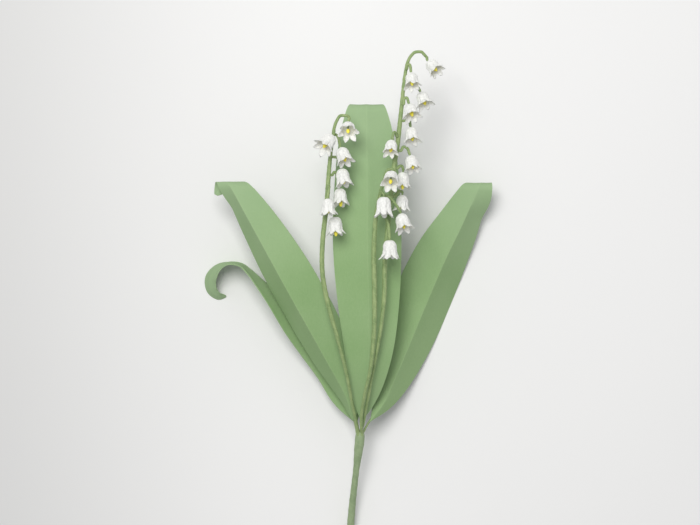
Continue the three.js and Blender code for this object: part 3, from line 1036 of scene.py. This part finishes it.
@dataclass(frozen=True)
class Bell:
    """One bell, the wire that carries it and the stamen head in it.

    `root` is how far along Y the wire leaves its stem, or None at the stem's own tip,
    and `via` is the way it arches on from there to the crown. `hangs_out` is how much
    further than usual the stamen head reaches.
    """

    crown: tuple[float, float, float]
    aim: tuple[float, float, float]
    size: float
    root: float | None
    via: tuple[tuple[float, float, float], ...]
    hangs_out: float = 0.0

    # How the dome's roundness and the lobes' flare swing about their middle values.
    ROUNDNESS = (0.48, 0.1)
    FLARE = (1.7, 0.35)
    TAPED = 0.85
    BARE = 0.5
    STAMEN_RADIUS = 1.15
    STAMEN_LENGTH = 4.2
    REACH = 10.5

    def stamen_tip(self) -> float:
        """Return how far past the crown the stamen head ends."""
        return self.REACH * self.size + self.hangs_out

    def along(self, distance: float) -> np.ndarray:
        """Return the point on the bell's axis at a distance past its crown."""
        return np.array(self.crown) + unit(self.aim) * distance

    def axes(self, turn: float) -> np.ndarray:
        """Return the bell's three directions as the columns of a turning matrix."""
        aim = Vector(unit(self.aim))
        swing = Vector((0, 0, -1)).rotation_difference(aim).to_matrix()
        across = swing @ Vector((math.cos(turn), math.sin(turn), 0.0))
        return np.array([across, aim.cross(across), aim]).T

    def paper(self, tree: bpy.types.NodeTree, finish: bpy.types.Material, name: str,
              number: int) -> bpy.types.Object:
        """Make the bell's paper from the rule, at its place.

        Args:
            tree: the bell's geometry node group.
            finish: its paper.
            name: the piece's name.
            number: its number among all the bells, which seeds its own shape.

        Returns:
            The bell as a plain closed mesh.
        """
        start = new_object(name + "_start", bpy.data.meshes.new(name + "_start"))
        piece = grown(start, tree, name, {
            "Roundness": self.ROUNDNESS[0] + self.ROUNDNESS[1] * math.sin(number * 2.4),
            "Lobe Flare": self.FLARE[0] + self.FLARE[1] * math.sin(number * 1.3),
            "Seed": float(number), "Paper": finish})
        points = np.array([v.co for v in piece.data.vertices]) * self.size
        turned = points @ self.axes(number * 0.9).T + np.array(self.crown)
        piece.data.vertices.foreach_set("co", placed(turned).astype(np.float32).ravel())
        face_outwards(piece.data)
        return piece

    def wire_path(self, stem: FlowerStem, stem_path: SmoothPath) -> SmoothPath:
        """Return the wire's course from inside its stem's tape to the stamen head."""
        if self.root is None:
            tip, tangent = stem_path.at(1.0), stem_path.tangent(1.0)
            start = [tip - tangent * 0.8, tip + tangent * (GAP + 0.8)]
        else:
            point, tangent, radius = stem.near(stem_path, self.root)
            out = np.array(self.via[0]) - point
            out = unit(out - tangent * out.dot(tangent))
            start = [point + out * (radius - 0.5), point + out * (radius + GAP + 1.0)]
        end = self.stamen_tip() - self.STAMEN_LENGTH * 0.6
        return SmoothPath([*start, *self.via, self.along(-1.6), self.along(-0.4),
                           self.along(1.2), self.along(end)])

    def stamen(self, finish: bpy.types.Material, name: str) -> bpy.types.Object:
        """Make the yellow head on the wire's end, a grainy drop."""
        rings, around = 18, 20
        tip = self.stamen_tip()
        axes = self.axes(0.0)
        body = []
        for i in range(rings + 1):
            share = mix(0.012, 0.988, i / rings)
            radius = self.STAMEN_RADIUS * math.sin(math.pi * share ** 0.8) ** 0.6
            centre = self.along(tip - self.STAMEN_LENGTH * (1 - share))
            ring = []
            for j in range(around):
                angle = math.tau * j / around
                out = axes[:, 0] * math.cos(angle) + axes[:, 1] * math.sin(angle)
                point = centre + out * radius
                grain = noise.noise(Vector(point * 1.9))
                ring.append(centre + out * radius * (1 + 0.22 * grain))
            body.append(ring)
        piece = new_object(name, ring_mesh(name, placed(np.array(body))))
        piece.data.materials.append(finish)
        return piece


@dataclass(frozen=True)
class FlowerRow:
    """A flower stem with all its bells, numbered from the tip."""

    prefix: str
    stem: FlowerStem
    bells: tuple[Bell, ...]

    def build(self, tree: bpy.types.NodeTree, paper: bpy.types.Material,
              yellow: bpy.types.Material, stem_binder: WireBinder,
              fine_binder: WireBinder, first: int) -> None:
        """Make the stem, its bells, their wires and stamen heads.

        Args:
            tree: the bell's geometry node group.
            paper: the bells' finish.
            yellow: the stamen heads' finish.
            stem_binder: what binds the stem.
            fine_binder: what binds the bells' wires.
            first: the first bell's number among all the bells.
        """
        self.stem.build(stem_binder, float(first))
        path = self.stem.path()
        for index, bell in enumerate(self.bells, start=1):
            number = first + index
            name = f"{self.prefix}_bell_{index}"
            finish_piece(bell.paper(tree, paper, "paper_" + name, number), Slot.BELL, name)
            course = bell.wire_path(self.stem, path)
            to_crown = bell.stamen_tip() - bell.STAMEN_LENGTH * 0.6

            def radius_at(share: float) -> float:
                """Return the wire's radius, bare inside the bell."""
                left = (1 - share) * course.length
                return mix(bell.BARE, bell.TAPED, ease(left - to_crown, 0.3, 2.0))

            wire_name = f"{self.prefix}_bell_wire_{index}"
            wire = fine_binder.bind("taped_" + wire_name, course, radius_at, float(number))
            finish_piece(wire, Slot.TAPE, wire_name)
            finish_piece(bell.stamen(yellow, f"stamen_{self.prefix}_{index}"), Slot.STAMEN)


# ---- sizes of this flower ------------------------------------------------------------


LEAVES = (
    Leaf("left_leaf",
         ((-4.3, 9.5, 25.6), (-8.4, 23.4, 29.8), (-23, 51, 38), (-45.6, 92.2, 46.5),
          (-68.2, 133.5, 45.5), (-82.3, 159, 40.5), (-91, 174, 38)),
         half_width=21.7, peak=0.88, fullness=0.6, fold=(40, 20), bank=(24, 16),
         settle_from=0.83, curl_from=155, wire_angle=180, seed=0.4),
    Leaf("middle_leaf",
         ((0.9, 9, 25.8), (2.4, 20, 30.6), (4.2, 37, 38.4), (5.5, 57.9, 43.4),
          (5.2, 86, 46.6), (4.4, 123.3, 48), (4.3, 160.6, 47), (4, 196, 45),
          (3.9, 219, 44)),
         half_width=22.4, peak=1.25, fullness=0.45, fold=(17, 4), bank=(0, 0),
         settle_from=0.7, curl_from=203, wire_angle=300, seed=2.2),
    Leaf("right_leaf",
         ((6.4, 8.5, 25.2), (15.2, 20.6, 22.6), (29.3, 51.4, 18.4), (42.3, 82.6, 17.5),
          (55, 112.2, 18.4), (64.8, 132.6, 20), (76, 159, 22), (81, 172, 22.4)),
         half_width=23, peak=0.92, fullness=0.66, foot_taper=0.06, fold=(33, 5),
         bank=(-15, 5), settle_from=0.8, curl_from=155, wire_angle=0, seed=4.1),
    Leaf("curled_leaf",
         ((-2.2, 7, 18.5), (-4.4, 14, 15), (-10.5, 27, 12.4), (-16, 41, 11.8),
          (-25.9, 58, 12.6), (-37.8, 73.9, 14), (-47.1, 84.5, 15), (-55.8, 92.8, 15),
          (-63.2, 99.3, 14), (-69.5, 104.8, 13), (-75.4, 108.8, 12), (-84.4, 109.6, 10.6),
          (-91.8, 106, 9.2), (-96.4, 99, 7.8), (-95.8, 91.4, 5.8),
          (-91.3, 87.3, 3.8), (-86.5, 87.3, 1.2)),
         half_width=15, peak=0.88, fullness=0.6, fold=(20, 6), bank=(-20, -89),
         settle_from=0.3, stands_from=0.42, turn_over=(0.2, 0.76), lean_back=-52,
         wire_angle=240, seed=5.6),
)

ROWS = (
    FlowerRow("left", FlowerStem("left_flower_stem", 120, (
        (-4.9, 20.6, 34.5), (-8.8, 41.9, 43), (-13.6, 61, 48.5), (-19.7, 83, 52),
        (-23.2, 101.6, 54), (-23.3, 120, 56), (-20.6, 146, 57.5), (-19.2, 166, 58.5),
        (-17.3, 183.3, 59.5), (-15.2, 194.5, 60.5), (-12.2, 199.3, 61),
        (-9.3, 199.4, 61))), (
        Bell((-7.6, 194, 62), (0.02, -0.6, 0.8), 0.95, None, ((-6.9, 198.4, 60.2),)),
        Bell((-17.2, 186.3, 67), (-0.5, -0.68, 0.48), 1, 186.5,
             ((-16.3, 189, 63), (-15.9, 189.8, 64.6))),
        Bell((-12, 179.3, 62.5), (0.3, -0.84, 0.42), 0.95, 188, ((-13.4, 185.6, 62.4),)),
        Bell((-11.6, 166.8, 59), (0.18, -0.95, 0.2), 0.93, 174.5,
             ((-14.6, 174, 58.4), (-12.8, 171.4, 57.8))),
        Bell((-12.6, 154.8, 54), (0.06, -0.95, 0.25), 0.9, 163.5,
             ((-15.9, 165, 56.2), (-13.8, 162.6, 54.4)), hangs_out=2.2),
        Bell((-19.7, 148.4, 66.5), (0.02, -0.99, 0.06), 0.87, 155,
             ((-19.2, 155.8, 63), (-19.2, 154.6, 65.4))),
        Bell((-15.6, 137.4, 57), (0.06, -0.99, 0.08), 0.95, 141.5, ((-16.6, 141, 57.2),),
             hangs_out=2.2),
    )),
    FlowerRow("tall", FlowerStem("tall_flower_stem", None, (
        (1.3, 5, 26.2), (4.4, 21, 35.4), (7.2, 37.3, 43), (11.5, 60.6, 49.5),
        (14.7, 86, 52.5), (15.2, 109.6, 54), (17.1, 132.4, 56), (20.4, 165, 58),
        (23.2, 184.6, 59), (25.2, 203, 60), (27.5, 224.4, 60.5), (29.7, 233.6, 61),
        (33.2, 238, 61.2), (37.6, 238.4, 60.6), (40.1, 236, 60))), (
        Bell((41.9, 232.6, 61.3), (0.52, -0.68, 0.5), 0.9, None, ()),
        Bell((31, 224.6, 66.8), (0.06, -0.84, 0.5), 0.88, 228,
             ((29, 229.8, 63.6), (30.2, 230.2, 65))),
        Bell((37.2, 213.6, 58.5), (0.3, -0.86, 0.4), 0.87, 221, ((32.2, 220.6, 58.8),)),
        Bell((29.9, 205.6, 65), (0.2, -0.82, 0.54), 0.87, 207,
             ((27, 209.6, 62.6), (28.4, 210.2, 63.2))),
        Bell((31, 191.9, 59), (0.12, -0.9, 0.4), 0.87, 196.5,
             ((28, 198.4, 58.8), (30, 197.4, 58.4))),
        Bell((30.6, 174.6, 59), (0.2, -0.88, 0.42), 0.87, 178.5,
             ((26.4, 180.4, 58.4), (28.8, 179.6, 58.2))),
        Bell((19.3, 183.6, 66.5), (-0.12, -0.84, 0.52), 0.83, 187,
             ((21.8, 188.6, 63), (20.6, 188.8, 64.6))),
        Bell((26.4, 164.9, 55.5), (-0.03, -0.99, 0.12), 0.85, 167.5,
             ((24.4, 168.8, 56.4), (26, 168.4, 55.8)), hangs_out=2.0),
        Bell((26, 151, 54.5), (-0.05, -0.99, 0.06), 0.84, 150.5,
             ((23.2, 152.6, 55.2), (25, 153.2, 54.6))),
    )),
    FlowerRow("short", FlowerStem("short_flower_stem", 60, (
        (0.9, 5, 28.9), (0.8, 12, 33), (2.7, 26, 41.2), (6.4, 43.1, 49),
        (8.6, 67.5, 53.8), (8.8, 92.9, 55.8), (8.4, 117, 58), (9.7, 138.5, 60.5),
        (12.1, 151.3, 63.5), (14.6, 160.5, 65.4), (15.8, 164.4, 66),
        (16.9, 165.9, 66.1), (17.9, 166.2, 66.1))), (
        Bell((19.1, 163.4, 69.4), (-0.1, -0.62, 0.78), 1, None, ((20.2, 165.7, 66.6),)),
        Bell((14.2, 149.2, 69), (0.02, -0.99, 0.12), 1.03, 148.5,
             ((12.2, 150.6, 66.4), (13.2, 152.2, 67.8))),
        Bell((24.9, 139, 62.6), (0.2, -0.9, 0.38), 0.97, 151,
             ((17.6, 149.6, 63), (22, 144.4, 63))),
        Bell((17.9, 123, 65.5), (0.02, -1, 0.04), 0.98, 140.5,
             ((13.6, 139.4, 60.4), (16.8, 133.5, 62.8))),
    )),
)


# ---- studio --------------------------------------------------------------------------


@dataclass(frozen=True)
class SoftLight:
    """One square soft light, placed in metres."""

    name: str
    place: tuple[float, float, float]
    target: tuple[float, float, float]
    side: float
    power: float
    tint: tuple[float, float, float]

    def build(self) -> None:
        """Hang the light, facing its target."""
        lamp = bpy.data.lights.new(self.name, "AREA")
        lamp.size = self.side
        lamp.energy = self.power
        lamp.color = self.tint
        holder = bpy.data.objects.new(self.name, lamp)
        holder.location = self.place
        facing = Vector(self.target) - Vector(self.place)
        holder.rotation_euler = facing.to_track_quat("-Z", "Y").to_euler()
        bpy.context.scene.collection.objects.link(holder)


@dataclass(frozen=True)
class Studio:
    """A pale floor under soft light, looked at from straight above."""

    aim: tuple[float, float] = (-6.3, 109.3)
    height: float = 1200.0
    lens: float = 95.5
    sensor: float = 36.0
    floor_size: float = 6.0
    floor_tones: tuple[Colour, Colour] = ((0.81, 0.81, 0.81, 1.0), (0.84, 0.84, 0.835, 1.0))
    # painted shade: the floor's darker tone to the left, where the light falls off
    floor_shade: Colour = (0.60, 0.60, 0.595, 1.0)
    shade_span: tuple[float, float] = (-0.32, 0.0)
    surroundings: Colour = (0.98, 0.985, 1.0, 1.0)
    surroundings_strength: float = 0.47
    window: SoftLight = SoftLight(
        "window", place=(-0.2, 0.45, 1.25), target=(0.0, 0.06, 0.0), side=0.6, power=12.6,
        tint=(1.0, 0.99, 0.97))

    def floor(self) -> None:
        """Lay the plain pale floor, with painted shade that darkens its tone softly to the left.
        """
        half = self.floor_size / 2
        mesh = bpy.data.meshes.new("floor")
        mesh.from_pydata([(-half, -half, 0), (half, -half, 0), (half, half, 0),
                          (-half, half, 0)], [], [(0, 1, 2, 3)])
        material, graph, shader = new_material("floor", 0.9)
        place = graph.add("ShaderNodeTexCoord").outputs["Object"]
        cloud = graph.field("ShaderNodeTexNoise", {"Vector": place, "Scale": 4.0})
        pale = graph.mixed(cloud, *self.floor_tones)
        # painted shade: the floor darkens softly towards the left
        fall_off = graph.parts(place)[0].step(*self.shade_span)
        graph.feed(shader.inputs["Base Color"], graph.mixed(fall_off, self.floor_shade, pale))
        mesh.materials.append(material)
        new_object("floor", mesh)

    def camera(self) -> None:
        """Set the camera straight above the flower, with +Y up the view."""
        lens = bpy.data.cameras.new("camera")
        lens.lens = self.lens
        lens.sensor_width = self.sensor
        holder = bpy.data.objects.new("camera", lens)
        over = placed(np.array([*self.aim, 0.0]))
        holder.location = (over[0], over[1], self.height * MM)
        bpy.context.scene.collection.objects.link(holder)
        bpy.context.scene.camera = holder

    def build(self) -> None:
        """Set up the camera, the floor, the light and the pale surroundings."""
        scene = bpy.context.scene
        scene.view_settings.view_transform = "Standard"
        scene.world = bpy.data.worlds.new("surroundings")
        scene.world.use_nodes = True
        sky = scene.world.node_tree.nodes["Background"].inputs
        sky["Color"].default_value = self.surroundings
        sky["Strength"].default_value = self.surroundings_strength
        self.camera()
        self.floor()
        self.window.build()
        LOG.info("studio: camera, floor and light")


def main() -> None:
    """Build the studio and the flower, piece by piece."""
    logging.basicConfig(level=logging.INFO, format="%(name)s: %(message)s")
    Studio().build()
    effects = SharedEffects(paper_fibre_group(), tape_wrap_group())
    leaf_paper = LeafPaperFinish().build(effects)
    bell_paper = BellPaperFinish().build(effects)
    yellow = StamenFinish().build(effects)
    stem_tape = TapeFinish(
        "stem_tape", deep=(0.205, 0.29, 0.15, 1.0), light=(0.32, 0.415, 0.23, 1.0),
        edge=(0.39, 0.475, 0.28, 1.0), pitch=0.007).build(effects)
    fine_tape = TapeFinish(
        "fine_tape", deep=(0.165, 0.26, 0.095, 1.0), light=(0.335, 0.425, 0.185, 1.0),
        edge=(0.43, 0.50, 0.25, 1.0), pitch=0.0045).build(effects)
    wire_tree = taped_wire_tree()
    stout = WireBinder(wire_tree, stem_tape, pitch=0.007, ridge=0.00022, lumps=0.00012,
                       sides=28)
    slim = WireBinder(wire_tree, fine_tape, pitch=0.0045, ridge=0.00016, lumps=0.0001,
                      sides=20)
    fine = WireBinder(wire_tree, fine_tape, pitch=0.003, ridge=0.0001, lumps=0.00008,
                      sides=16)
    MainStem().build(stout)
    for leaf in LEAVES:
        leaf.build(leaf_paper, fine)
    bells = bell_tree()
    first = 0
    for row in ROWS:
        row.build(bells, bell_paper, yellow, slim, fine, first)
        first += len(row.bells)


if __name__ == "__main__":
    main()
